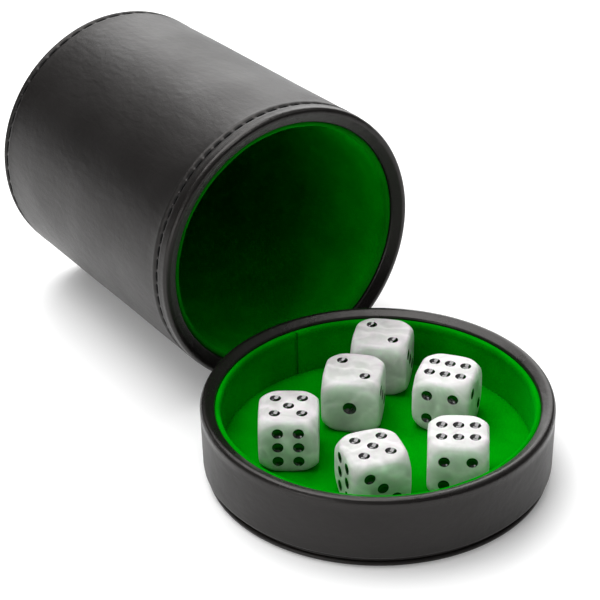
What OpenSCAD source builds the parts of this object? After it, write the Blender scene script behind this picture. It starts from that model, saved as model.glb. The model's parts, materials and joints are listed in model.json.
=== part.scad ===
// Leather dice cup with its slip-over lid and six dice.
// The cup lies on its side, as after a throw, with its mouth towards -Y.
// The lid stands in front of the mouth on its foot and holds the dice.
// Origin: centre of the lid's foot, on the table. +Y along the cup, +Z up. Millimetres.

/* [Cup] */
// Length of the cup from base to mouth
cup_length = 95.8; // [70:0.1:120]
// Outer diameter at the mouth
cup_mouth_d = 82.8; // [70:0.1:90]
// Outer diameter at the base
cup_base_d = 80.6; // [68:0.1:82]
// Inner diameter of the black ring at the mouth
cup_ring_d = 73.6; // [60:0.1:74]
// Thickness of the floor board
cup_board_t = 2.5; // [1.5:0.1:4]

/* [Lid] */
// Outer diameter at the rim
lid_rim_d = 94.8; // [92:0.1:104]
// Outer diameter where the wall meets the foot
lid_wall_base_d = 94.3; // [92:0.1:104]
// Inner diameter of the black ring at the rim
lid_ring_d = 86.8; // [86:0.1:90]
// Height from the table to the rim
lid_height = 21; // [16:0.1:35]
// Diameter of the foot
lid_foot_d = 92.4; // [88:0.1:100]
// Thickness of the foot
lid_foot_t = 2.9; // [2:0.1:4]
// Height of the velvet floor above the table
lid_floor_z = 5.3; // [5:0.1:8]

/* [Leather, card and velvet] */
// Thickness of the outer leather
leather_t = 1.2; // [0.8:0.1:1.5]
// Thickness of the leather where it is pared and turned in
turn_t = 0.8; // [0.5:0.1:1]
// Depth of the turned-in leather inside the cup
cup_turn_depth = 15; // [8:0.5:25]
// Depth of the turned-in leather inside the lid
lid_turn_depth = 10; // [5:0.5:12]
// Thickness of the lining card
card_t = 0.5; // [0.3:0.1:1]
// Thickness of the velvet
velvet_t = 0.8; // [0.5:0.1:1.2]
// Outer rounding of both rims
rim_round = 1.4; // [1.3:0.1:2]
// Inner rounding of both rims
rim_inner_round = 0.8; // [0.6:0.1:1]
// Inward slope of both rims, in degrees
rim_slope = 28; // [10:1:30]

/* [Stitching] */
// Stitches round the mouth
mouth_stitches = 68; // [40:1:90]
// Stitches round the base
base_stitches = 54; // [40:1:90]
// Distance from the mouth to its stitches
mouth_stitch_inset = 4.8; // [4:0.1:10]
// Distance from the base to its stitches
base_stitch_inset = 2; // [1.6:0.1:8]
// Thickness of the thread
thread_d = 0.6; // [0.4:0.1:0.7]
// Part of each pitch that the thread covers
stitch_fill = 0.7; // [0.5:0.05:0.85]

/* [Dice] */
// Edge of a die
die_edge = 16; // [12:0.5:16]
// Rounding of a die's edges
die_round = 1; // [0.4:0.1:2]
// Diameter of the ball that a die's corners are turned to
die_ball_d = 23.2; // [22:0.1:26]
// Diameter of a pip at the face
pip_d = 2.9; // [1.5:0.1:3]
// Depth of a pip
pip_depth = 0.6; // [0.2:0.1:0.8]
// Diameter of the single pip of face 1
one_pip_d = 3.6; // [1.5:0.1:4.5]
// Depth of that pip
one_pip_depth = 0.75; // [0.2:0.05:1]
// Distance of the corner pips from a face's middle lines
pip_offset = 3.6; // [2.5:0.1:3.8]
// Distance of the six's two rows from the middle line
six_offset = 2.75; // [2:0.05:3]
// Distance of the six's end pips from the other middle line
six_reach = 4.35; // [3:0.05:4.5]

/* [Placing] */
// Sideways place of the cup's axis
cup_x = 7.2; // [-20:0.1:20]
// Distance from the lid's centre to the cup's mouth
mouth_y = 50.4; // [48.5:0.1:80]

/* [Hidden] */

leather_colour = [0.12, 0.12, 0.12];
thread_colour = [0.03, 0.03, 0.03];
board_colour = [0.62, 0.54, 0.42];
card_colour = [0.72, 0.68, 0.60];
velvet_colour = [0.02, 0.45, 0.05];
die_colour = [0.93, 0.92, 0.89];

round_fn = 180;  // facets of the preview's large circles
arc_steps = 8;   // straight stretches in one rounded corner of an outline
eps = 0.01;      // reach of a cutter past the face it cuts
edge_round = 0.7;      // rounding of the leather's lower edges
groove_w = 1.1;        // width of a stitch groove
groove_depth = 0.7;    // depth of a stitch groove
seam_w = 0.25;         // gap in the outer leather's butt seam
seam_depth = 0.4;      // depth of that gap
cup_seam_angle = -60;  // side of the cup where its leather's ends meet, low down as it lies
lid_seam_angle = 75;   // side of the lid where its leather's ends meet
lining_seam_angle = 86;   // side of the lid where its velvet's ends meet
lid_inner_board_t = 1.1;  // thickness of the board inside the lid's wall

mouth_r = cup_mouth_d / 2;
base_r = cup_base_d / 2;
cup_ring_r = cup_ring_d / 2;
cup_inner_r = cup_ring_r - card_t - velvet_t;
cup_taper = atan((mouth_r - base_r) / cup_length);
cup_board_top = leather_t + cup_board_t;
cup_floor_top = cup_board_top + card_t + velvet_t;

lid_ring_r = lid_ring_d / 2;
lid_inner_r = lid_ring_r - card_t - velvet_t;
lid_board_top = lid_foot_t + lid_inner_board_t;

// Points on an arc round c, from angle a0 to a1, both ends included.
function arc(c, r, a0, a1) =
    [for (i = [0 : arc_steps]) let (a = a0 + (a1 - a0) * i / arc_steps) c + r * [cos(a), sin(a)]];

// Radius of the cup's outside at height z above its base.
function cup_r(z) = base_r + (mouth_r - base_r) * z / cup_length;

// Radius of the lid's outside at height z above the table.
function lid_r(z) = lid_wall_base_d / 2
    + (lid_rim_d - lid_wall_base_d) / 2 * (z - lid_foot_t) / (lid_height - lid_foot_t);

// A rim's outer and inner rounding share one sloping tangent line. Both centres are in (r, z).
function outer_centre(r, top) = [r - rim_round, top - rim_round];
function inner_centre(r_outer, r_ring, top) =
    let (c = outer_centre(r_outer, top), r = r_ring + rim_inner_round, a = 90 + rim_slope)
    [r, c.y - (rim_inner_round - rim_round - (c.x - r) * cos(a)) / sin(a)];

cup_top_c = outer_centre(cup_r(cup_length - rim_round), cup_length);
cup_in_c = inner_centre(cup_r(cup_length - rim_round), cup_ring_r, cup_length);
lid_top_c = outer_centre(lid_r(lid_height - rim_round), lid_height);
lid_in_c = inner_centre(lid_r(lid_height - rim_round), lid_ring_r, lid_height);
cup_lining_top = cup_in_c.y;
lid_lining_top = lid_in_c.y;

// Turns an outline in (r, z) about the Z axis.
module turned(points) {
    rotate_extrude($fn = round_fn) polygon(points);
}

// A flat round sheet or board from z0 to z1.
module disc(r, z0, z1) {
    translate([0, 0, z0]) cylinder(r = r, h = z1 - z0, $fn = round_fn);
}

// Moves a shape made on the upright cup, base at z = 0, to where the cup lies.
module lay_cup() {
    lift = mouth_r * cos(cup_taper) - cup_length * sin(cup_taper);
    translate([cup_x, mouth_y + cup_length * cos(cup_taper), lift])
        rotate([90 - cup_taper, 0, 0])
            children();
}

// ---- leather wraps: one hide round the outside, folded over the rim and turned in ----

// Outline of a wrapped wall. The hide is leather_t thick outside and turn_t where it is turned in.
function wrap_outline(r_low, z_low, c_out, c_in, r_ring, turn_depth) =
    let (a = 90 + rim_slope)
    concat(
        arc([r_low - edge_round, z_low + edge_round], edge_round, -90, 0),
        arc(c_out, rim_round, 0, a),
        arc(c_in, rim_inner_round, a, 180),
        [[r_ring, c_in.y - turn_depth], [r_ring + turn_t, c_in.y - turn_depth], [r_ring + turn_t, c_in.y]],
        arc(c_out, rim_round - leather_t, a, 0),
        [[r_low - leather_t, z_low]]);

// Ring-shaped cutter for a stitch groove, sunk into a wall of radius r at height z.
module stitch_groove(r, z) {
    rotate_extrude($fn = round_fn)
        translate([r, z])
            polygon([[eps, -groove_w / 2], [eps, groove_w / 2],
                     [-groove_depth, groove_w / 4], [-groove_depth, -groove_w / 4]]);
}

// Cutter for the upright butt seam, which follows the wall's slope from radius r0 at z0 to r1 at z1.
module butt_seam(r0, z0, r1, z1, angle) {
    rotate([0, 0, angle])
        translate([r0, 0, z0])
            rotate([0, atan((r1 - r0) / (z1 - z0)), 0])
                translate([-seam_depth, -seam_w / 2, 0])
                    cube([2 * seam_depth, seam_w, z1 - z0]);
}

module cup_leather_wrap() {
    seam_low = base_stitch_inset + 2 * groove_w;
    seam_high = cup_length - mouth_stitch_inset - 2 * groove_w;
    color(leather_colour) lay_cup() difference() {
        turned(wrap_outline(base_r, 0, cup_top_c, cup_in_c, cup_ring_r, cup_turn_depth));
        stitch_groove(cup_r(cup_length - mouth_stitch_inset), cup_length - mouth_stitch_inset);
        stitch_groove(cup_r(base_stitch_inset), base_stitch_inset);
        butt_seam(cup_r(seam_low), seam_low, cup_r(seam_high), seam_high, cup_seam_angle);
    }
}

module lid_leather_wrap() {
    seam_low = lid_foot_t + 2 * edge_round;
    seam_high = lid_height - 2 * rim_round;
    color(leather_colour) difference() {
        turned(wrap_outline(lid_r(lid_foot_t), lid_foot_t, lid_top_c, lid_in_c, lid_ring_r, lid_turn_depth));
        butt_seam(lid_r(seam_low), seam_low, lid_r(seam_high), seam_high, lid_seam_angle);
    }
}

// ---- stiff cores: rolled fibreboard, pared where the leather is turned in ----

function core_outline(r_low, z_low, c_out, c_in, r_ring, turn_depth) = concat(
    [[r_low - leather_t, z_low]],
    arc(c_out, rim_round - leather_t, 0, 90 + rim_slope),
    [[r_ring + turn_t, c_in.y], [r_ring + turn_t, c_in.y - turn_depth],
     [r_ring, c_in.y - turn_depth], [r_ring, z_low]]);

module cup_core_tube() {
    color(board_colour) lay_cup()
        turned(core_outline(cup_r(leather_t), leather_t, cup_top_c, cup_in_c, cup_ring_r, cup_turn_depth));
}

module lid_core_ring() {
    color(board_colour)
        turned(core_outline(lid_r(lid_foot_t), lid_foot_t, lid_top_c, lid_in_c, lid_ring_r, lid_turn_depth));
}

// ---- base of the cup ----

module cup_base_leather() {
    r = base_r - leather_t;
    color(leather_colour) lay_cup()
        turned(concat([[0, 0]], arc([r - edge_round, edge_round], edge_round, -90, 0),
                      [[r, leather_t], [0, leather_t]]));
}

module cup_base_board() {
    color(board_colour) lay_cup() disc(cup_ring_r, leather_t, cup_board_top);
}

// ---- foot of the lid: a board disc in its own leather, glued under the wall ----

module lid_foot_leather() {
    r = lid_foot_d / 2;
    color(leather_colour)
        turned(concat([[0, 0]], arc([r - edge_round, edge_round], edge_round, -90, 0),
                      [[r, lid_foot_t], [r - turn_t, lid_foot_t], [r - turn_t, leather_t], [0, leather_t]]));
}

module lid_foot_board() {
    color(board_colour) disc(lid_foot_d / 2 - turn_t, leather_t, lid_foot_t);
}

module lid_inner_board() {
    color(board_colour) disc(lid_ring_r, lid_foot_t, lid_board_top);
}

// ---- stitching: short lengths of thread, flush in their groove ----

// A ring of stitches round radius r at height z. Each one is a bent length of thread.
module stitching(r, z, count) {
    pitch = 360 / count;
    for (i = [0 : count - 1])
        rotate([0, 0, i * pitch])
            translate([0, 0, z])
                rotate_extrude(angle = pitch * stitch_fill, $fn = round_fn)
                    translate([r - thread_d / 2, 0]) circle(d = thread_d, $fn = 16);
}

module cup_mouth_stitching() {
    z = cup_length - mouth_stitch_inset;
    color(thread_colour) lay_cup() stitching(cup_r(z) - eps, z, mouth_stitches);
}

module cup_base_stitching() {
    color(thread_colour) lay_cup()
        stitching(cup_r(base_stitch_inset) - eps, base_stitch_inset, base_stitches);
}

// ---- linings: card tubes faced with velvet, the velvet folded over the card's top edge ----

module lining_card(r_ring, z0, top) {
    difference() {
        disc(r_ring, z0, top - velvet_t);
        disc(r_ring - card_t, z0 - eps, top);
    }
}

module lining_velvet(r_ring, z0, top) {
    r_in = r_ring - card_t - velvet_t;
    fold_r = (r_ring - r_in) / 2;
    fold_z = top - fold_r;
    turned(concat(
        [[r_in, z0]], arc([r_in + fold_r, fold_z], fold_r, 180, 0),
        [[r_ring, top - velvet_t], [r_ring - card_t, top - velvet_t], [r_ring - card_t, z0]]));
}

module cup_lining_card() {
    color(card_colour) lay_cup() lining_card(cup_ring_r, cup_board_top, cup_lining_top);
}

module cup_lining_velvet() {
    color(velvet_colour) lay_cup() lining_velvet(cup_ring_r, cup_board_top, cup_lining_top);
}

module lid_lining_card() {
    color(card_colour) lining_card(lid_ring_r, lid_board_top, lid_lining_top);
}

module lid_lining_velvet() {
    color(velvet_colour) difference() {
        lining_velvet(lid_ring_r, lid_board_top, lid_lining_top);
        // the two ends of the velvet strip meet here
        rotate([0, 0, lining_seam_angle])
            translate([lid_inner_r - eps, -seam_w / 2, lid_floor_z])
                cube([seam_depth + eps, seam_w, lid_height]);
    }
}

module cup_floor_card() {
    color(card_colour) lay_cup() disc(cup_inner_r, cup_board_top, cup_board_top + card_t);
}

module cup_floor_velvet() {
    color(velvet_colour) lay_cup() disc(cup_inner_r, cup_board_top + card_t, cup_floor_top);
}

module lid_floor_card() {
    color(card_colour) disc(lid_inner_r, lid_board_top, lid_floor_z - velvet_t);
}

module lid_floor_velvet() {
    color(velvet_colour) disc(lid_inner_r, lid_floor_z - velvet_t, lid_floor_z);
}

// ---- dice ----

die_rest_gap = 0.05;  // the dice stand this far above the velvet

// Radius of the ball that cuts a pip of diameter d and the given depth.
function pip_ball_r(d, depth) = (pow(d / 2, 2) + pow(depth, 2)) / (2 * depth);

// Places of the pips on each face, across and up the face.
pips_1 = [[0, 0]];
pips_2 = [[-pip_offset, pip_offset], [pip_offset, -pip_offset]];
pips_3 = concat(pips_1, pips_2);
pips_4 = concat(pips_2, [[-pip_offset, -pip_offset], [pip_offset, pip_offset]]);
pips_5 = concat(pips_1, pips_4);
pips_6 = [for (x = [-six_offset, six_offset], y = [-six_reach, 0, six_reach]) [x, y]];

// Cuts one face's pips. The face is the top one after the turn that angles gives.
module pips(angles, places, d = pip_d, depth = pip_depth) {
    ball_r = pip_ball_r(d, depth);
    rotate(angles)
        for (p = places)
            translate([p.x, p.y, die_edge / 2 - depth + ball_r])
                sphere(r = ball_r, $fn = 24);
}

// A cube with round edges and corners: three slabs, twelve edge rods and eight corner balls.
module rounded_cube(edge, r) {
    flat = edge - 2 * r;
    places = [-flat / 2, flat / 2];
    for (size = [[edge, flat, flat], [flat, edge, flat], [flat, flat, edge]])
        cube(size, center = true);
    for (turn = [[0, 0, 0], [90, 0, 0], [0, 90, 0]])
        rotate(turn)
            for (x = places, y = places)
                translate([x, y, -flat / 2]) cylinder(r = r, h = flat, $fn = 40);
    for (x = places, y = places, z = places)
        translate([x, y, z]) sphere(r = r, $fn = 40);
}

// One die about its own centre, with 2 on top, 1 towards -Y and 3 towards +X.
module die_shape() {
    difference() {
        intersection() {
            rounded_cube(die_edge, die_round);
            sphere(d = die_ball_d, $fn = 96);
        }
        pips([0, 0, 0], pips_2);
        pips([180, 0, 0], pips_5);
        pips([90, 0, 0], pips_1, one_pip_d, one_pip_depth);
        pips([-90, 0, 0], pips_6);
        pips([90, 0, 90], pips_3);
        pips([0, -90, 0], pips_4);
    }
}

// A die on the lid's floor at x, y, turned by yaw after roll has brought its top face up.
module placed_die(x, y, yaw, roll) {
    color(die_colour)
        translate([x, y, lid_floor_z + die_rest_gap + die_edge / 2])
            rotate([0, 0, yaw]) rotate(roll) die_shape();
}

two_up = [0, 0, 0];
five_up_six_front = [180, 0, 0];
five_up_three_front = [180, 0, -90];
six_up = [90, 0, 90];

module die_front_left() { placed_die(-21.9, 9.9, -36.3, five_up_six_front); }
module die_front_centre() { placed_die(-15.1, -18.2, -17, five_up_three_front); }
module die_front_right() { placed_die(6.8, -25.9, -38.9, six_up); }
module die_middle_left() { placed_die(2.9, 14.7, -44.2, two_up); }
module die_middle_right() { placed_die(23.2, -0.8, -53.4, six_up); }
module die_back() { placed_die(20.5, 25.1, -46.6, two_up); }

cup_leather_wrap();
cup_core_tube();
cup_base_leather();
cup_base_board();
cup_mouth_stitching();
cup_base_stitching();
cup_lining_card();
cup_lining_velvet();
cup_floor_card();
cup_floor_velvet();
lid_leather_wrap();
lid_core_ring();
lid_foot_leather();
lid_foot_board();
lid_inner_board();
lid_lining_card();
lid_lining_velvet();
lid_floor_card();
lid_floor_velvet();
die_front_left();
die_front_centre();
die_front_right();
die_middle_left();
die_middle_right();
die_back();
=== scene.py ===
import json
from math import atan2, cos, pi, radians, sin

import bmesh
import bpy
import numpy as np
from mathutils import Matrix, Vector


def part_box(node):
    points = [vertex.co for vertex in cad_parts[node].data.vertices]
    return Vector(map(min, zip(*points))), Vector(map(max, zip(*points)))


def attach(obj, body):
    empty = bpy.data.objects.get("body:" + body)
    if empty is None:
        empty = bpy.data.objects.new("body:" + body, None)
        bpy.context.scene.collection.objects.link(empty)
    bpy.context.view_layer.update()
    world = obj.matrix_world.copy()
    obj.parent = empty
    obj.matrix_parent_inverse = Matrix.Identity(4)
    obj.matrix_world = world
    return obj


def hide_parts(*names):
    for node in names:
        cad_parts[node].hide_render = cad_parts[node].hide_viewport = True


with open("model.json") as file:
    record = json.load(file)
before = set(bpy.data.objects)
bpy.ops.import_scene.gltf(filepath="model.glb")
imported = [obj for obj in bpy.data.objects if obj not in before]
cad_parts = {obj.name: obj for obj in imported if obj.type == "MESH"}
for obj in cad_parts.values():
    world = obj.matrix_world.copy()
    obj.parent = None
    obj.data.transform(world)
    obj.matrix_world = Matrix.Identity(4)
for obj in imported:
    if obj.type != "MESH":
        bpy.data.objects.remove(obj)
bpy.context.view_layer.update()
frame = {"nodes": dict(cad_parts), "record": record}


# ---------------------------------------------------------------------------------------------
# Cup, outer leather. One smooth black hide, 1.2 mm thick, glued round a fibreboard tube that
# widens slightly towards the mouth. It is folded over the mouth, pared thinner and turned in as a
# sloping black ring, and has a sewn channel near each end.
# ---------------------------------------------------------------------------------------------
mm = 0.001
base_mount = next(mount for mount in frame["record"]["mounts"] if mount["name"] == "cup_base")
base_centre = np.array(base_mount["pos_m"])
base_outward = np.array(base_mount["axis"]) / np.linalg.norm(base_mount["axis"])
cup_wrap_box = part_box("cup_leather_wrap")
cup_taper = atan2(-base_outward[2], base_outward[1])
mouth_r = (cup_wrap_box[1].x - cup_wrap_box[0].x) / 2
base_r = base_centre[2] / cos(cup_taper)
cup_ring_r = (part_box("cup_lining_card")[1].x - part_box("cup_lining_card")[0].x) / 2
cup_length = (base_centre[1] - cup_wrap_box[0].y - mouth_r * sin(cup_taper)) / cos(cup_taper)

leather_t = 1.2 * mm
turn_t = 0.8 * mm
rim_round = 1.4 * mm
rim_inner_round = 0.8 * mm
rim_slope = 28
edge_round = 0.7 * mm
cup_turn_depth = 15 * mm
mouth_row_z = cup_length - 4.8 * mm
base_row_z = 2.0 * mm
mouth_stitches = 68
base_stitches = 54
stitch_fill = 0.7
cup_seam_angle = radians(-60)
seam_w = 0.2 * mm


def arc(centre, radius, start, end, count):
    """Points on a circle: centre plus radius times (cos, sin), from start to end in degrees."""
    a = np.radians(np.linspace(start, end, count))
    return np.stack([centre[0] + radius * np.cos(a), centre[1] + radius * np.sin(a)], -1)


def straight(start, end, count=2):
    """Evenly spaced points on the line from start to end: start times (1 - t) plus end times t."""
    t = np.linspace(0, 1, count)[:, None]
    return np.array(start) * (1 - t) + np.array(end) * t


def joined(*stretches):
    """One outline made of stretches laid end to end, leaving out points that repeat."""
    points = np.concatenate(stretches)
    step = np.hypot(*np.diff(points, axis=0).T)
    return points[np.r_[True, step > 1e-7]]


def ring_angles(count, *seams):
    """Angles of a full turn, evenly spaced, with extra ones within half a degree of each seam."""
    extra = [seam + radians(0.6) * np.linspace(-1, 1, 17) for seam in seams]
    even = np.linspace(0, 2 * pi, count, endpoint=False)
    angles = np.sort(np.concatenate([even, *extra]) % (2 * pi))
    return angles[np.r_[True, np.diff(angles) > 1e-5]]


def upright(points):
    """A place on an upright piece is its place in the frame."""
    return points


def lay_cup(points):
    """From the upright cup to the lying one: base centre, plus x across, y up and z along it."""
    across = np.array([1.0, 0.0, 0.0])
    along = -base_outward
    up = np.cross(along, across)
    return base_centre + points[..., :1] * across + points[..., 1:2] * up + points[..., 2:] * along


def outline_normals(outline, closed):
    """Outward unit normals of an outline in (r, z): each point's tangent, turned by a quarter."""
    if closed:
        tangent = np.roll(outline, -1, 0) - np.roll(outline, 1, 0)
    else:
        tangent = np.gradient(outline, axis=0)
    tangent = tangent / np.maximum(np.hypot(tangent[:, :1], tangent[:, 1:]), 1e-12)
    return np.stack([tangent[:, 1], -tangent[:, 0]], -1)


def turned(outline, angles, place=upright, closed=True, relief=None):
    """Surface of revolution: (r cos a, r sin a, z) for each outline point (r, z) and each angle a.

    With relief, each outline point first moves along its normal by relief(a, r, z).
    """
    r, z = outline[:, :1], outline[:, 1:]
    a = angles[None, :]
    if relief is not None:
        normal = outline_normals(outline, closed)
        push = relief(a, r, z)
        r, z = r + normal[:, :1] * push, z + normal[:, 1:] * push
    r, z = r + 0 * a, z + 0 * a
    return place(np.stack([r * np.cos(a), r * np.sin(a), z], -1))


def grid_faces(rows, columns, closed_rows, closed_columns):
    """Four-cornered faces between neighbours of a grid that may close on itself either way."""
    i = np.arange(rows if closed_rows else rows - 1)[:, None]
    j = np.arange(columns if closed_columns else columns - 1)[None, :]
    below, beside = (i + 1) % rows, (j + 1) % columns
    corners = [i * columns + j, i * columns + beside, below * columns + beside, below * columns + j]
    return np.stack(np.broadcast_arrays(*corners), -1).reshape(-1, 4)


def make_piece(name, points, faces, material, marks=None):
    """A smooth closed mesh at the origin. marks are named numbers kept at each of its points."""
    mesh = bpy.data.meshes.new(name)
    mesh.from_pydata(np.asarray(points, float).reshape(-1, 3), [], faces)
    for mark, values in (marks or {}).items():
        attribute = mesh.attributes.new(mark, "FLOAT", "POINT")
        attribute.data.foreach_set("value", np.asarray(values, np.float32).ravel())
    shell = bmesh.new()
    shell.from_mesh(mesh)
    bmesh.ops.remove_doubles(shell, verts=shell.verts, dist=1e-7)
    bmesh.ops.recalc_face_normals(shell, faces=shell.faces)
    shell.to_mesh(mesh)
    shell.free()
    mesh.polygons.foreach_set("use_smooth", [True] * len(mesh.polygons))
    mesh.materials.append(material)
    piece = bpy.data.objects.new(name, mesh)
    bpy.context.scene.collection.objects.link(piece)
    return piece


def turned_piece(name, outline, angles, material, place=upright, closed=True, relief=None, wear_and_painted_shade_of=None):
    """A turned surface as a piece, marked 0 to 1 at each point: wear on leather, painted shade on
    velvet.
    """
    points = turned(outline, angles, place, closed, relief)
    faces = grid_faces(len(outline), len(angles), closed, True).tolist()
    marks = {}
    if wear_and_painted_shade_of is not None:
        wear_and_painted_shade = wear_and_painted_shade_of(angles[None, :], outline[:, :1], outline[:, 1:])
        marks["wear_and_painted_shade"] = np.broadcast_to(wear_and_painted_shade, points.shape[:2])
    return make_piece(name, points, faces, material, marks)


def add(tree, kind, settings=None, **inputs):
    """A shader node in tree. An input is named, or i0, i1... by number, and takes a number or a link."""
    node = tree.nodes.new(kind)
    for key, value in (settings or {}).items():
        setattr(node, key, value)
    for key, value in inputs.items():
        numbered = key[0] == "i" and key[1:].isdigit()
        socket = node.inputs[int(key[1:])] if numbered else node.inputs[key.replace("_", " ")]
        if isinstance(value, bpy.types.NodeSocket):
            tree.links.new(value, socket)
        else:
            socket.default_value = value
    return node


def sums(tree, operation, a, b=0.0):
    """The result of one sum on two numbers or links."""
    return add(tree, "ShaderNodeMath", {"operation": operation}, i0=a, i1=b).outputs[0]


def blended(tree, share, a, b):
    """A colour between a and b."""
    return add(tree, "ShaderNodeMix", {"data_type": "RGBA"}, i0=share, i6=a, i7=b).outputs[2]


def spread(tree, value, low, high, to_low, to_high):
    """value carried from the range low to high over to the range to_low to to_high, and held there."""
    carried = add(tree, "ShaderNodeMapRange", None, i0=value, i1=low, i2=high, i3=to_low, i4=to_high)
    return carried.outputs[0]


def effect_group(name, inputs, outputs):
    """An empty shader node group. An input whose default is None is a place, and the others numbers."""
    tree = bpy.data.node_groups.new(name, "ShaderNodeTree")
    for label, default in inputs.items():
        kind = "NodeSocketVector" if default is None else "NodeSocketFloat"
        socket = tree.interface.new_socket(name=label, in_out="INPUT", socket_type=kind)
        if default is not None:
            socket.default_value = default
    for label in outputs:
        tree.interface.new_socket(name=label, in_out="OUTPUT", socket_type="NodeSocketFloat")
    return tree, tree.nodes.new("NodeGroupInput").outputs, tree.nodes.new("NodeGroupOutput").inputs


def place_group(tree, group, **inputs):
    """A node that puts an effect group into a material."""
    node = tree.nodes.new("ShaderNodeGroup")
    node.node_tree = group
    for key, value in inputs.items():
        if isinstance(value, bpy.types.NodeSocket):
            tree.links.new(value, node.inputs[key])
        else:
            node.inputs[key].default_value = value
    return node.outputs


def new_material(name):
    """A material with only a Principled surface in it, returned with its tree and that surface."""
    material = bpy.data.materials.new(name)
    material.use_nodes = True
    tree = material.node_tree
    tree.nodes.clear()
    surface = tree.nodes.new("ShaderNodeBsdfPrincipled")
    output = tree.nodes.new("ShaderNodeOutputMaterial")
    tree.links.new(surface.outputs[0], output.inputs["Surface"])
    return material, tree, surface


# Hide grain: fine cells parted by soft creases, wrinkles of a few millimetres that run the way
# the hide was pulled, and slow patches where it stretched.
hide_grain, given, out = effect_group(
    "hide_grain", {"Place": None, "Cells per Metre": 2000.0, "Crease": 0.5},
    ["Height", "Patches", "Wrinkles"])
cells = add(hide_grain, "ShaderNodeTexVoronoi", {"feature": "DISTANCE_TO_EDGE"},
            Vector=given["Place"], Scale=given["Cells per Metre"])
creases = spread(hide_grain, cells.outputs["Distance"], 0.0, 0.25, 0.0, 1.0)
pores = add(hide_grain, "ShaderNodeTexNoise", None, Vector=given["Place"],
            Scale=sums(hide_grain, "MULTIPLY", given["Cells per Metre"], 0.35), Detail=3.0)
patches = add(hide_grain, "ShaderNodeTexNoise", None, Vector=given["Place"], Scale=45.0, Detail=4.0)
grain_height = sums(hide_grain, "MULTIPLY", creases, given["Crease"])
hide_grain.links.new(sums(hide_grain, "ADD", grain_height, pores.outputs[0]), out["Height"])
hide_grain.links.new(patches.outputs[0], out["Patches"])
drawn_out = add(hide_grain, "ShaderNodeVectorMath", {"operation": "MULTIPLY"},
                i0=given["Place"], i1=(1.0, 0.45, 1.0))
wrinkles = add(hide_grain, "ShaderNodeTexNoise", None,
               Vector=drawn_out.outputs[0], Scale=420.0, Detail=3.0)
hide_grain.links.new(wrinkles.outputs[0], out["Wrinkles"])


def leather(name, dye, worn_dye, smooth, rough):
    """Smooth black leather: near-black dye, with wear a little paler and glossier where hands rub it."""
    material, tree, surface = new_material(name)
    place = add(tree, "ShaderNodeTexCoord").outputs["Object"]
    grain = place_group(tree, hide_grain, Place=place, Crease=0.45)
    wear_and_painted_shade = add(tree, "ShaderNodeAttribute", {"attribute_name": "wear_and_painted_shade"}).outputs["Fac"]
    rub = sums(tree, "MULTIPLY", wear_and_painted_shade, spread(tree, grain["Patches"], 0.35, 0.6, 0.4, 1.0))
    gloss = spread(tree, grain["Patches"], 0.3, 0.7, smooth, rough)
    swells = add(tree, "ShaderNodeBump", None, Strength=0.5, Distance=0.25 * mm,
                 Height=grain["Wrinkles"])
    bump = add(tree, "ShaderNodeBump", None, Strength=0.3, Distance=0.1 * mm,
               Height=grain["Height"], Normal=swells.outputs[0])
    tree.links.new(blended(tree, rub, (*dye, 1), (*worn_dye, 1)), surface.inputs["Base Color"])
    polished = sums(tree, "SUBTRACT", gloss, sums(tree, "MULTIPLY", wear_and_painted_shade, 0.15))
    tree.links.new(polished, surface.inputs["Roughness"])
    tree.links.new(bump.outputs[0], surface.inputs["Normal"])
    surface.inputs["IOR"].default_value = 1.4
    surface.inputs["Specular Tint"].default_value = (1, 0.96, 0.94, 1)
    return material


black_leather = leather(
    "smooth_black_leather", (0.0066, 0.0058, 0.0055), (0.009, 0.008, 0.0075), 0.38, 0.48)


def cup_r(z):
    """Radius of the cup's outside at height z above its base: a straight taper."""
    return base_r + (mouth_r - base_r) * z / cup_length


def rim_centres(r_outer, r_ring, top):
    """Centres, in (r, z), of a rim's outer and inner rounding, which share one inward-sloping line."""
    a = radians(90 + rim_slope)
    outer = np.array([r_outer - rim_round, top - rim_round])
    r_inner = r_ring + rim_inner_round
    drop = (rim_inner_round - rim_round - (outer[0] - r_inner) * cos(a)) / sin(a)
    return outer, np.array([r_inner, outer[1] - drop])


def wrap_outline(wall, rows, r_ring, top, turn_depth):
    """Closed outline of a hide on a wall: up the outside, over the rim, down inside, and back behind."""
    outer, inner = rim_centres(wall(top - rim_round), r_ring, top)
    a = 90 + rim_slope
    low = rows[0]
    up = rows[(rows > low + edge_round) & (rows < outer[1])]
    behind = r_ring + turn_t
    return joined(
        arc([wall(low) - edge_round, low + edge_round], edge_round, -90, 0, 8),
        np.stack([wall(up), up], -1),
        arc(outer, rim_round, 0, a, 22),
        arc(inner, rim_inner_round, a, 180, 10),
        straight([r_ring, inner[1]], [r_ring, inner[1] - turn_depth], 10),
        straight([behind, inner[1] - turn_depth], [behind, inner[1]], 4),
        arc(outer, rim_round - leather_t, a, 0, 6),
        straight([wall(top) - leather_t, outer[1]], [wall(low) - leather_t, low], 8))


def hump(x, width):
    """A smooth hump: 1 at x = 0, falling away as exp(-(x / width) squared)."""
    return np.exp(-(x / width) ** 2)


def seam_line(a, seam, r, width=seam_w):
    """How near an angle is to a seam on radius r: 1 on its line, falling away over the seam's width."""
    away = (a - seam + pi) % (2 * pi) - pi
    return hump(away * r, width)


def between_stitches(a, count):
    """1 midway between two stitches and 0 under them, for stitches that start at whole pitches."""
    share = (a * count / (2 * pi) - stitch_fill / 2 + 0.5) % 1.0 - 0.5
    return hump(np.abs(share) - 0.5, 0.15)


def sewn_channel(a, z, row_z, count):
    """The channel that stitches pull into leather, deep under each stitch, and its two raised lips."""
    sunk = -0.7 * mm * (1 - 0.6 * between_stitches(a, count)) * hump(z - row_z, 0.65 * mm)
    lips = hump(z - row_z - 1.5 * mm, 0.7 * mm) + hump(z - row_z + 1.5 * mm, 0.7 * mm)
    return sunk + 0.1 * mm * lips


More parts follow.
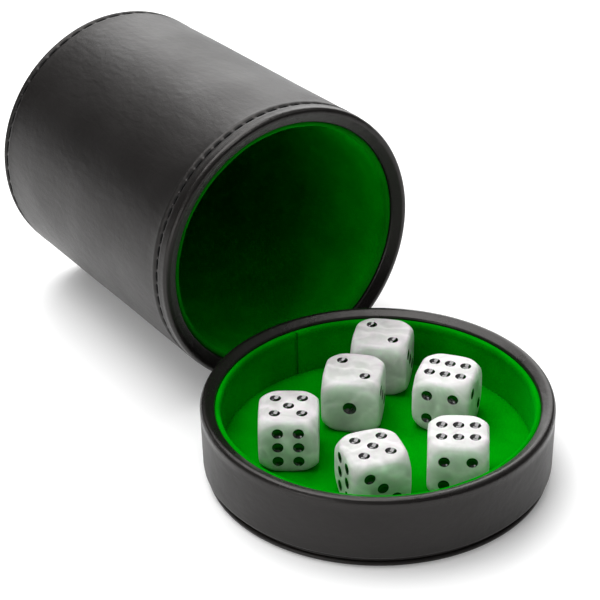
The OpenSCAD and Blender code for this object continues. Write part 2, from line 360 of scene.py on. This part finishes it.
def hide_swell(a, z):
    """Slow unevenness of a hand-glued hide: three crossed waves, 0 to 0.12 mm inwards."""
    waves = np.sin(5 * a + 90 * z) + np.sin(11 * a - 130 * z + 1.3) + np.sin(3 * a + 210 * z + 0.4)
    return 0.02 * mm * (waves - 3)


def cup_relief(a, r, z):
    """Depth of the cup's channels, seam and swell. Only the outside is shaped, not the hidden back."""
    outside = np.where(r > cup_r(z) - 0.5 * mm, 1.0, 0.0)
    seam_stretch = np.where((z > base_row_z + 2 * mm) & (z < mouth_row_z - 2 * mm), 0.35 * mm, 0.0)
    mouth_channel = sewn_channel(a, z, mouth_row_z, mouth_stitches)
    channels = mouth_channel + sewn_channel(a, z, base_row_z, base_stitches)
    return outside * (channels + hide_swell(a, z) - seam_stretch * seam_line(a, cup_seam_angle, r))


def rubbed_edges(low, high):
    """Wear by hands: 1 on the whole rim and on the wrap's low edge, fading over a millimetre."""
    def wear_and_painted_shade_of(a, r, z):
        rim = hump(np.minimum(z - high + 2 * mm, 0), mm)
        return np.clip(hump(z - low, 0.8 * mm) + rim, 0, 1) + 0 * a
    return wear_and_painted_shade_of


def wall_rows(low, high, count, *close):
    """Heights from low to high, evenly spaced, with finer steps round each of the heights in close."""
    finer = [c + np.linspace(-2.2, 2.2, 25) * mm for c in close]
    rows = np.unique(np.concatenate([np.linspace(low, high, count), *finer]))
    rows = rows[(rows >= low) & (rows <= high)]
    return rows[np.r_[True, np.diff(rows) > 0.05 * mm]]


cup_angles = ring_angles(mouth_stitches * 8, cup_seam_angle)
cup_rows = wall_rows(0.0, cup_length, 30, mouth_row_z, base_row_z)
cup_leather = turned_piece(
    "cup_outer_leather", wrap_outline(cup_r, cup_rows, cup_ring_r, cup_length, cup_turn_depth),
    cup_angles, black_leather, lay_cup, relief=cup_relief, wear_and_painted_shade_of=rubbed_edges(0.0, cup_length))
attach(cup_leather, "cup")
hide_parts("cup_leather_wrap")


# ---------------------------------------------------------------------------------------------
# Cup, stitching. Waxed black two-ply thread, 0.7 mm thick, sewn through the hide in a row near
# the mouth and another near the base. Each stitch rises out of one awl hole, lies in the channel
# and dips into the next hole.
# ---------------------------------------------------------------------------------------------
thread_r = 0.36 * mm


def stitch_row(name, row_z, count, material):
    """A row of stitches as one mesh.

    Stitch k runs from angle k to k + fill, in pitches. Along it, s goes from -1 to 1: its middle
    line stands 0.42 mm inside the wall, and sinks by 0.5 mm times s to the sixth power. Round it,
    the thread's radius swells and thins as two twisted plies do: 1 + 0.12 cos(2 (b + twist)).
    """
    s = np.linspace(-1, 1, 17)[None, :, None]
    b = np.linspace(0, 2 * pi, 10, endpoint=False)[None, None, :]
    k = np.arange(count)[:, None, None]
    pitch = 2 * pi / count
    a = (k + stitch_fill / 2 + s * (stitch_fill / 2 + 0.04)) * pitch
    middle_r = cup_r(row_z) - 0.42 * mm - 0.5 * mm * np.abs(s) ** 6
    slant = 0.1 * mm * s
    plies = 1 + 0.12 * np.cos(2 * (b + 3.4 * s))
    thick = thread_r * np.sqrt(np.clip(1 - np.abs(s) ** 12, 0.05, 1)) * plies
    r = middle_r + thick * np.cos(b)
    z = row_z + slant + thick * np.sin(b)
    a = a + 0 * b
    points = lay_cup(np.stack([r * np.cos(a), r * np.sin(a), z + 0 * a], -1))
    one = grid_faces(17, 10, False, True)
    tube = (one[None] + (np.arange(count) * 170)[:, None, None]).reshape(-1, 4)
    caps = np.concatenate([np.arange(10)[::-1][None], 160 + np.arange(10)[None]])
    ends = (caps[None] + (np.arange(count) * 170)[:, None, None]).reshape(-1, 10)
    return make_piece(name, points, tube.tolist() + ends.tolist(), material)


# Thread: black polyester with a wax film; its plies carry fine fibres along their twist.
black_thread, tree, surface = new_material("waxed_black_thread")
place = add(tree, "ShaderNodeTexCoord").outputs["Object"]
fibres = add(tree, "ShaderNodeTexNoise", None, Vector=place, Scale=5200.0, Detail=2.0)
tree.links.new(blended(tree, fibres.outputs[0], (0.001, 0.001, 0.001, 1), (0.008, 0.008, 0.008, 1)),
               surface.inputs["Base Color"])
tree.links.new(spread(tree, fibres.outputs[0], 0.3, 0.7, 0.7, 0.9), surface.inputs["Roughness"])
surface.inputs["Specular IOR Level"].default_value = 0.2
fibre_bump = add(tree, "ShaderNodeBump", None, Strength=0.3, Distance=0.05 * mm,
                 Height=fibres.outputs[0])
tree.links.new(fibre_bump.outputs[0], surface.inputs["Normal"])

mouth_row = stitch_row("cup_mouth_thread", mouth_row_z, mouth_stitches, black_thread)
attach(mouth_row, "cup")
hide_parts("cup_mouth_stitching")

base_row = stitch_row("cup_base_thread", base_row_z, base_stitches, black_thread)
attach(base_row, "cup")
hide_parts("cup_base_stitching")


# ---------------------------------------------------------------------------------------------
# Cup, base. A disc of the same leather glued inside the wrap's lower edge, over a fibreboard
# disc. It is slightly crowned and its edge is rounded.
# ---------------------------------------------------------------------------------------------
disc_r = base_r - leather_t
disc_rows = joined(
    straight([0, 0], [disc_r - edge_round, 0], 24),
    arc([disc_r - edge_round, edge_round], edge_round, -90, 0, 8),
    straight([disc_r, edge_round], [disc_r, leather_t], 3),
    straight([disc_r, leather_t], [0, leather_t], 6))


def crowned_disc(a, r, z):
    """Swell of the base disc: slow waves, and nothing at its edge."""
    swell = np.where(z < 0.1 * mm, hide_swell(a, 3 * r) * 0.8 - 0.05 * mm, 0.0)
    return swell * np.clip(1 - r / disc_r, 0, 1)


base_disc = turned_piece(
    "cup_base_disc", disc_rows, ring_angles(180), black_leather, lay_cup,
    closed=False, relief=crowned_disc, wear_and_painted_shade_of=lambda a, r, z: hump(r - disc_r, mm) + 0 * a)
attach(base_disc, "cup")
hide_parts("cup_base_leather")


# ---------------------------------------------------------------------------------------------
# Boards and cards. Grey-brown fibreboard makes the walls and floors, and thinner pale card backs
# the velvet. They are hidden by leather and velvet, and keep their plain CAD shapes.
# ---------------------------------------------------------------------------------------------
def pulp(name, pale, dark, flecks):
    """Pressed paper pulp: short flecks and a cloudy tone, matt."""
    material, tree, surface = new_material(name)
    place = add(tree, "ShaderNodeTexCoord").outputs["Object"]
    cloud = add(tree, "ShaderNodeTexNoise", None, Vector=place, Scale=120.0, Detail=5.0)
    fleck = add(tree, "ShaderNodeTexNoise", None, Vector=place, Scale=flecks, Detail=2.0)
    tone = sums(tree, "MULTIPLY", cloud.outputs[0], spread(tree, fleck.outputs[0], 0.35, 0.65, 0.6, 1.4))
    tree.links.new(blended(tree, tone, (*dark, 1), (*pale, 1)), surface.inputs["Base Color"])
    tree.links.new(spread(tree, fleck.outputs[0], 0.3, 0.7, 0.75, 0.95), surface.inputs["Roughness"])
    bump = add(tree, "ShaderNodeBump", None, Strength=0.3, Distance=0.1 * mm, Height=fleck.outputs[0])
    tree.links.new(bump.outputs[0], surface.inputs["Normal"])
    return material


fibreboard = pulp("pressed_fibreboard", (0.42, 0.34, 0.24), (0.22, 0.17, 0.11), 1500.0)
lining_card = pulp("pale_lining_card", (0.55, 0.5, 0.42), (0.36, 0.32, 0.26), 2200.0)
for node, material in (
        ("cup_core_tube", fibreboard), ("cup_base_board", fibreboard),
        ("lid_core_ring", fibreboard), ("lid_foot_board", fibreboard), ("lid_inner_board", fibreboard),
        ("cup_lining_card", lining_card), ("cup_floor_card", lining_card),
        ("lid_lining_card", lining_card), ("lid_floor_card", lining_card)):
    for material_slot in frame["nodes"][node].material_slots:
        material_slot.material = material


# ---------------------------------------------------------------------------------------------
# Cup, lining. Green velvet glued on a card tube and folded over its upper edge, and a velvet disc
# on the floor. The green is painted darker along the fold, as painted shade.
# ---------------------------------------------------------------------------------------------
card_t = 0.5 * mm
velvet_t = 0.8 * mm
cup_inner_r = cup_ring_r - card_t - velvet_t
cup_lining_top = rim_centres(cup_r(cup_length - rim_round), cup_ring_r, cup_length)[1][1]
cup_lining_z = leather_t + 2.5 * mm

# Pile: tufts of fibre that lean in patches, so that the cloth has fine specks and soft clouds.
velvet_pile, given, out = effect_group(
    "velvet_pile", {"Place": None, "Tufts per Metre": 3200.0}, ["Lean", "Tufts"])
tufts = add(velvet_pile, "ShaderNodeTexNoise", None, Vector=given["Place"],
            Scale=given["Tufts per Metre"], Detail=2.0)
lean = add(velvet_pile, "ShaderNodeTexNoise", None, Vector=given["Place"], Scale=70.0, Detail=3.0)
velvet_pile.links.new(tufts.outputs[0], out["Tufts"])
velvet_pile.links.new(lean.outputs[0], out["Lean"])

green_velvet, tree, surface = new_material("green_velvet_cloth")
place = add(tree, "ShaderNodeTexCoord").outputs["Object"]
pile = place_group(tree, velvet_pile, Place=place)
pile_tone = sums(tree, "ADD", sums(tree, "MULTIPLY", pile["Lean"], 0.6),
                 sums(tree, "MULTIPLY", pile["Tufts"], 0.4))
cloth_green = blended(tree, spread(tree, pile_tone, 0.35, 0.65, 0.0, 1.0),
                      (0.0, 0.185, 0.001, 1), (0.0, 0.32, 0.002, 1))
# Painted shade: the green is blended to near black where the mark is high, along the cup's fold and down
# the lid strip's seam.
painted_shade = add(tree, "ShaderNodeAttribute", {"attribute_name": "wear_and_painted_shade"}).outputs["Fac"]
tree.links.new(blended(tree, painted_shade, cloth_green, (0.004, 0.05, 0.004, 1)),
               surface.inputs["Base Color"])
tree.links.new(spread(tree, pile["Tufts"], 0.3, 0.7, 0.85, 1.0), surface.inputs["Roughness"])
pile_bump = add(tree, "ShaderNodeBump", None, Strength=0.5, Distance=0.25 * mm, Height=pile["Tufts"])
tree.links.new(pile_bump.outputs[0], surface.inputs["Normal"])
surface.inputs["Specular IOR Level"].default_value = 0.0
surface.inputs["Sheen Weight"].default_value = 0.35
surface.inputs["Sheen Roughness"].default_value = 0.45
surface.inputs["Sheen Tint"].default_value = (0.0, 0.8, 0.02, 1)


def lining_outline(r_ring, low, top):
    """Closed outline of a velvet tube: up its back, over the card in a half round, down its face."""
    r_face = r_ring - card_t - velvet_t
    fold = (r_ring - r_face) / 2
    return joined(
        straight([r_ring - card_t, low], [r_ring - card_t, top - velvet_t], 10),
        straight([r_ring - card_t, top - velvet_t], [r_ring, top - velvet_t], 3),
        arc([r_face + fold, top - fold], fold, 0, 180, 20),
        straight([r_face, top - fold], [r_face, low], 40))


def cloth_swell(a, r, z):
    """A hand-glued cloth's slow unevenness, in three crossed waves."""
    waves = np.sin(4 * a + 60 * z) + np.sin(9 * a - 150 * z + 2.1) + np.sin(17 * a + 240 * z)
    return 0.04 * mm * waves


def folded_bead(z, top):
    """How far the folded edge bulges: 0.3 mm just under the top, fading out below."""
    return 0.3 * mm * hump(z - top + 1.3 * mm, 1.1 * mm)


def cup_lining_relief(a, r, z):
    """The lining's swell and folded bead, on its face only."""
    face = np.where(r < cup_inner_r + 0.6 * mm, 1.0, 0.0)
    return face * (cloth_swell(a, r, z) + folded_bead(z, cup_lining_top))


# The fold is marked half dark: painted shade along the cloth's top edge.
cup_lining = turned_piece("cup_velvet_tube", lining_outline(cup_ring_r, cup_lining_z, cup_lining_top),
                          ring_angles(300), green_velvet, lay_cup, relief=cup_lining_relief,
                          wear_and_painted_shade_of=lambda a, r, z: 0.5 * hump(z - cup_lining_top, 1.2 * mm) + 0 * a)
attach(cup_lining, "cup")
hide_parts("cup_lining_velvet")


def velvet_disc(name, r, low, high, node, body, place):
    """A velvet disc: flat below, with slow swells above that fade out towards its edge."""
    rows = joined(
        straight([0, low], [r, low], 6),
        straight([r, low], [r, high], 4),
        straight([r, high], [0, high], 60))

    def swell(a, rr, z):
        upper = np.where(z > high - 0.01 * mm, 1.0, 0.0)
        return upper * cloth_swell(a, rr, rr) * np.clip(2 - 2 * rr / r, 0, 1) * 0.6

    disc = turned_piece(name, rows, ring_angles(240), green_velvet, place, closed=False, relief=swell)
    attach(disc, body)
    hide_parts(node)
    return disc


velvet_disc("cup_velvet_floor", cup_inner_r, cup_lining_z + card_t, cup_lining_z + card_t + velvet_t,
            "cup_floor_velvet", "cup", lay_cup)


# ---------------------------------------------------------------------------------------------
# Lid, outer leather. The same black hide round a low fibreboard ring, folded over the rim and
# turned in, with its two ends butted at the back. It has no stitching.
# ---------------------------------------------------------------------------------------------
lid_wrap_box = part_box("lid_leather_wrap")
lid_height = lid_wrap_box[1].z
lid_foot_t = lid_wrap_box[0].z
lid_rim_r = (lid_wrap_box[1].x - lid_wrap_box[0].x) / 2
lid_wall_base_r = lid_rim_r - 0.25 * mm
lid_ring_r = (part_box("lid_lining_card")[1].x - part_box("lid_lining_card")[0].x) / 2
lid_turn_depth = 10 * mm
lid_seam_angle = radians(75)


def lid_r(z):
    """Radius of the lid's outside at height z above the table: a slight straight taper."""
    return lid_wall_base_r + (lid_rim_r - lid_wall_base_r) * (z - lid_foot_t) / (lid_height - lid_foot_t)


def lid_relief(a, r, z):
    """The lid's seam and slow swell, on its outside only."""
    outside = np.where(r > lid_r(z) - 0.5 * mm, 1.0, 0.0)
    seam_stretch = np.where((z > lid_foot_t + 1.5 * mm) & (z < lid_height - 3 * mm), 0.35 * mm, 0.0)
    return outside * (1.3 * hide_swell(a, z) - seam_stretch * seam_line(a, lid_seam_angle, r))


lid_rows = wall_rows(lid_foot_t, lid_height, 40)
lid_leather = turned_piece(
    "lid_outer_leather", wrap_outline(lid_r, lid_rows, lid_ring_r, lid_height, lid_turn_depth),
    ring_angles(480, lid_seam_angle), black_leather, relief=lid_relief,
    wear_and_painted_shade_of=rubbed_edges(lid_foot_t, lid_height))
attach(lid_leather, "lid")
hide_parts("lid_leather_wrap")


# ---------------------------------------------------------------------------------------------
# Lid, foot. A board disc in its own leather, glued under the wall and slightly smaller than it,
# so that a dark line parts the two. The leather is turned up round the board's edge.
# ---------------------------------------------------------------------------------------------
foot_r = (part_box("lid_foot_leather")[1].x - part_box("lid_foot_leather")[0].x) / 2
foot_gap = 0.75 * mm
foot_rows = joined(
    straight([0, 0], [foot_r - edge_round, 0], 20),
    arc([foot_r - edge_round, edge_round], edge_round, -90, 90, 16),
    straight([foot_r - foot_gap, 2 * edge_round], [foot_r - foot_gap, lid_foot_t], 5),
    straight([foot_r - turn_t, lid_foot_t], [foot_r - turn_t, leather_t], 3),
    straight([foot_r - turn_t, leather_t], [0, leather_t], 4))
foot_leather = turned_piece("lid_foot_cover", foot_rows, ring_angles(360), black_leather, closed=False,
                            wear_and_painted_shade_of=lambda a, r, z: hump(r - foot_r, 0.6 * mm) * hump(z, mm) + 0 * a)
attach(foot_leather, "lid")
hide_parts("lid_foot_leather")


# ---------------------------------------------------------------------------------------------
# Lid, lining. The same green velvet: a strip round the wall whose two ends meet in an upright
# seam, folded over its card's upper edge, and a disc on the floor.
# ---------------------------------------------------------------------------------------------
lid_inner_r = lid_ring_r - card_t - velvet_t
lid_floor_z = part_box("lid_floor_velvet")[1].z
lid_lining_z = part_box("lid_lining_velvet")[0].z
lid_lining_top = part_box("lid_lining_velvet")[1].z
lining_seam_angle = radians(86)


def lid_lining_relief(a, r, z):
    """The strip's swell, its folded bead and the narrow sunk gap of its seam."""
    face = np.where(r < lid_inner_r + 0.2 * mm, 1.0, 0.0)
    fold = np.where(r < lid_ring_r - card_t + 0.1 * mm, 1.0, 0.0)
    gap = seam_line(a, lining_seam_angle, r, 0.3 * mm)
    bead = np.where(r < lid_inner_r + 0.6 * mm, 1.0, 0.0) * folded_bead(z, lid_lining_top)
    return face * cloth_swell(a, r, z) + bead - fold * 0.6 * mm * gap


def lid_seam_painted_shade(a, r, z):
    """Painted shade: how dark the strip's green is painted down its seam, on its face."""
    face = np.where(r < lid_inner_r + 0.2 * mm, 1.0, 0.0)
    return face * seam_line(a, lining_seam_angle, r, 0.4 * mm)


lid_lining = turned_piece("lid_velvet_strip", lining_outline(lid_ring_r, lid_lining_z, lid_lining_top),
                          ring_angles(360, lining_seam_angle), green_velvet, relief=lid_lining_relief,
                          wear_and_painted_shade_of=lid_seam_painted_shade)
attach(lid_lining, "lid")
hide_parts("lid_lining_velvet")

velvet_disc("lid_velvet_floor", lid_inner_r, lid_floor_z - velvet_t, lid_floor_z,
            "lid_floor_velvet", "lid", upright)


# ---------------------------------------------------------------------------------------------
# Dice. Six 16 mm dice of swirled pearl-white acrylic, with their corners turned to a ball and
# their edges polished soft. The pips are shallow drilled dimples painted glossy black, and the
# single pip of the one is wider.
# ---------------------------------------------------------------------------------------------
die_half = 8 * mm
die_round = 1.0 * mm
die_ball_r = 11.6 * mm
pip_r = 1.45 * mm
pip_depth = 0.6 * mm
one_pip_r = 1.8 * mm
one_pip_depth = 0.75 * mm
near = 3.6 * mm
six_side = 2.75 * mm
six_end = 4.35 * mm
# Pips of each face, across and up it. A face's own directions across, up and outwards follow them.
two = [(-near, near), (near, -near)]
four = two + [(-near, -near), (near, near)]
six = [(side, along) for side in (-six_side, six_side) for along in (-six_end, 0, six_end)]
die_faces = [
    (two, (1, 0, 0), (0, 1, 0), (0, 0, 1)),
    (four + [(0, 0)], (1, 0, 0), (0, -1, 0), (0, 0, -1)),
    ([(0, 0)], (1, 0, 0), (0, 0, 1), (0, -1, 0)),
    (six, (-1, 0, 0), (0, 0, 1), (0, 1, 0)),
    (two + [(0, 0)], (0, 1, 0), (0, 0, 1), (1, 0, 0)),
    (four, (0, -1, 0), (0, 0, 1), (-1, 0, 0)),
]


def die_face(pips, across, up, out):
    """One face of a cube with its pips, as a grid in u and v.

    u and v run over the cube's face. Each point is the nearest one on the inner box plus the
    edge's radius in its direction, and is then drawn in to the ball of the corners, softly: its
    distance from the centre, far, becomes far - soft ln(1 + exp((far - ball) / soft)). A pip
    lowers it in the same soft way to a ball's surface of the pip's own depth. The second result
    is how deep a point lies in a pip's ball, in millimetres, and is above 0 in a pip.
    """
    flat = die_half - die_round
    bend = flat + die_round * np.tan(np.radians(np.linspace(0, 45, 7)))[1:]
    u = np.r_[-bend[::-1], np.linspace(-flat, flat, 87), bend]
    x, y = np.meshgrid(u, u, indexing="ij")
    cube = np.stack([x, y, np.full_like(x, die_half)], -1)
    inside = np.clip(cube, -flat, flat)
    away = cube - inside
    point = inside + die_round * away / np.linalg.norm(away, axis=-1, keepdims=True)
    far = np.linalg.norm(point, axis=-1, keepdims=True)
    soft = 0.3 * mm
    point = point * (far - soft * np.logaddexp(0, (far - die_ball_r) / soft)) / far
    wide, depth = (one_pip_r, one_pip_depth) if len(pips) == 1 else (pip_r, pip_depth)
    pip_ball_r = (wide ** 2 + depth ** 2) / (2 * depth)
    centres = np.array(pips)
    d = np.min(np.hypot(point[..., None, 0] - centres[:, 0], point[..., None, 1] - centres[:, 1]), -1)
    reach = np.minimum(d, 0.97 * pip_ball_r)
    deep = point[..., 2] - (die_half - depth + pip_ball_r - np.sqrt(pip_ball_r ** 2 - reach ** 2))
    lip = 0.04 * mm
    point[..., 2] -= lip * np.logaddexp(0, deep / lip)
    return point @ np.array([across, up, out], float), deep / mm


# Pearl acrylic: milky white with soft swirls, and black gloss paint inside the pips.
pearl_swirl, given, out = effect_group("pearl_swirl", {"Place": None}, ["Swirl", "Cloud"])
warp = add(pearl_swirl, "ShaderNodeTexNoise", None, Vector=given["Place"], Scale=90.0, Detail=2.0)
bent = add(pearl_swirl, "ShaderNodeVectorMath", {"operation": "MULTIPLY_ADD"},
           i0=warp.outputs["Color"], i1=(0.012, 0.012, 0.012), i2=given["Place"])
bands = add(pearl_swirl, "ShaderNodeTexWave", {"wave_type": "BANDS", "bands_direction": "DIAGONAL"},
            Vector=bent.outputs[0], Scale=60.0, Distortion=7.0, Detail=3.0)
cloud = add(pearl_swirl, "ShaderNodeTexNoise", None, Vector=bent.outputs[0], Scale=260.0, Detail=4.0)
pearl_swirl.links.new(sums(pearl_swirl, "POWER", bands.outputs["Fac"], 3.0), out["Swirl"])
pearl_swirl.links.new(cloud.outputs[0], out["Cloud"])

pearl, tree, surface = new_material("pearl_acrylic")
place = add(tree, "ShaderNodeTexCoord").outputs["Object"]
swirl = place_group(tree, pearl_swirl, Place=place)
milk = sums(tree, "ADD", sums(tree, "MULTIPLY", swirl["Swirl"], 0.5),
            spread(tree, swirl["Cloud"], 0.35, 0.7, 0.0, 0.5))
body_colour = blended(tree, milk, (0.55, 0.55, 0.535, 1), (0.81, 0.805, 0.79, 1))
in_pip = add(tree, "ShaderNodeAttribute", {"attribute_name": "pip"}).outputs["Fac"]
painted = spread(tree, in_pip, -0.09, -0.03, 0.0, 1.0)
tree.links.new(blended(tree, painted, body_colour, (0.004, 0.004, 0.004, 1)),
               surface.inputs["Base Color"])
tree.links.new(spread(tree, painted, 0.0, 1.0, 0.3, 0.08), surface.inputs["Roughness"])
surface.inputs["Subsurface Weight"].default_value = 1.0
surface.inputs["Subsurface Radius"].default_value = (0.85, 1.25, 0.9)
surface.inputs["Subsurface Scale"].default_value = 12 * mm
surface.inputs["Subsurface Anisotropy"].default_value = 0.3
surface.inputs["IOR"].default_value = 1.33
tree.links.new(painted, surface.inputs["Coat Weight"])
surface.inputs["Coat IOR"].default_value = 1.7
surface.inputs["Coat Roughness"].default_value = 0.06


def turning(axis, degrees):
    """The three-by-three turn about an axis."""
    return np.array(Matrix.Rotation(radians(degrees), 3, axis))


two_up = turning("X", 0)
five_up_six_front = turning("X", 180)
five_up_three_front = turning("Z", -90) @ turning("X", 180)
six_up = turning("Z", 90) @ turning("X", 90)
for place_name, yaw, roll in (
        ("front_left", -36.3, five_up_six_front), ("front_centre", -17, five_up_three_front),
        ("front_right", -38.9, six_up), ("middle_left", -44.2, two_up),
        ("middle_right", -53.4, six_up), ("back", -46.6, two_up)):
    node = "die_" + place_name
    low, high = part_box(node)
    faces_made = [die_face(*face) for face in die_faces]
    points = np.stack([made[0] for made in faces_made])
    points = points @ (turning("Z", yaw) @ roll).T + np.array((low + high) / 2)
    side = points.shape[1]
    one = grid_faces(side, side, False, False)
    quads = (one[None] + (np.arange(6) * side * side)[:, None, None]).reshape(-1, 4)
    die = make_piece(place_name + "_die", points, quads.tolist(), pearl,
                     {"pip": np.stack([made[1] for made in faces_made])})
    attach(die, place_name + "_die")
    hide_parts(node)


# ---------------------------------------------------------------------------------------------
# Stage. A pale table top, large soft lights behind and above and a weaker one from the left, a
# room that is brighter overhead, and the camera, looking down on the lid's front.
# ---------------------------------------------------------------------------------------------
def floor_points(reach, drop):
    """A flat square, 2 reach wide, at height -drop."""
    u = np.linspace(-reach, reach, 9)
    x, y = np.meshgrid(u, u, indexing="ij")
    return np.stack([x, y, np.full_like(x, -drop)], -1)


pale_top, tree, surface = new_material("pale_table_top")
place = add(tree, "ShaderNodeTexCoord").outputs["Object"]
mottle = add(tree, "ShaderNodeTexNoise", None, Vector=place, Scale=30.0, Detail=3.0)
tree.links.new(blended(tree, mottle.outputs[0], (0.86, 0.86, 0.86, 1), (0.88, 0.88, 0.88, 1)),
               surface.inputs["Base Color"])
surface.inputs["Roughness"].default_value = 0.7
surface.inputs["Emission Color"].default_value = (1, 1, 1, 1)
surface.inputs["Emission Strength"].default_value = 0.18
floor = make_piece("table_top", floor_points(1.5, 0.05 * mm),
                   grid_faces(9, 9, False, False).tolist(), pale_top)


def soft_light(name, place, aim, width, height, power):
    """A rectangular area light at place, turned to face aim."""
    light = bpy.data.lights.new(name, "AREA")
    light.shape = "RECTANGLE"
    light.size = width
    light.size_y = height
    light.energy = power
    lamp = bpy.data.objects.new(name, light)
    lamp.location = place
    lamp.rotation_euler = (Vector(aim) - Vector(place)).to_track_quat("-Z", "Y").to_euler()
    bpy.context.scene.collection.objects.link(lamp)


soft_light("back_softbox", (0.55, 0.75, 0.5), (0, 0.04, 0.02), 0.9, 0.8, 7)
soft_light("top_softbox", (-0.12, 0.25, 0.88), (0, 0.03, 0), 0.8, 0.8, 9.5)
soft_light("left_softbox", (-0.92, -0.2, 0.25), (0, 0.03, 0.03), 0.5, 0.4, 1.8)

world = bpy.data.worlds.new("pale_room")
world.use_nodes = True
sky = world.node_tree
sky.nodes["Background"].inputs["Color"].default_value = (1, 1, 1, 1)
way = add(sky, "ShaderNodeTexCoord").outputs["Generated"]
rise = add(sky, "ShaderNodeSeparateXYZ", None, Vector=way).outputs["Z"]
sky.links.new(spread(sky, rise, 0.3, 0.9, 0.05, 0.45), sky.nodes["Background"].inputs["Strength"])
bpy.context.scene.world = world
bpy.context.scene.view_settings.view_transform = "Standard"

view_turn = radians(-36.9)
view_rise = 0.611
view_far = 0.5364
pan = 0.0457
pitch = 0.529
tilt = -0.02
back = Vector((sin(view_turn) * cos(view_rise), -cos(view_turn) * cos(view_rise), sin(view_rise)))
gaze_turn = view_turn + pan
ahead = Vector((-sin(gaze_turn) * cos(pitch), cos(gaze_turn) * cos(pitch), -sin(pitch)))
right = ahead.cross(Vector((0, 0, 1))).normalized()
up = right.cross(ahead)
right_tilted = cos(tilt) * right + sin(tilt) * up
up_tilted = -sin(tilt) * right + cos(tilt) * up
lens = bpy.data.cameras.new("set_camera")
lens.lens = 118.06
camera = bpy.data.objects.new("set_camera", lens)
camera.matrix_world = Matrix((
    (right_tilted.x, up_tilted.x, -ahead.x, back.x * view_far),
    (right_tilted.y, up_tilted.y, -ahead.y, back.y * view_far),
    (right_tilted.z, up_tilted.z, -ahead.z, back.z * view_far),
    (0, 0, 0, 1)))
bpy.context.scene.collection.objects.link(camera)
bpy.context.scene.camera = camera
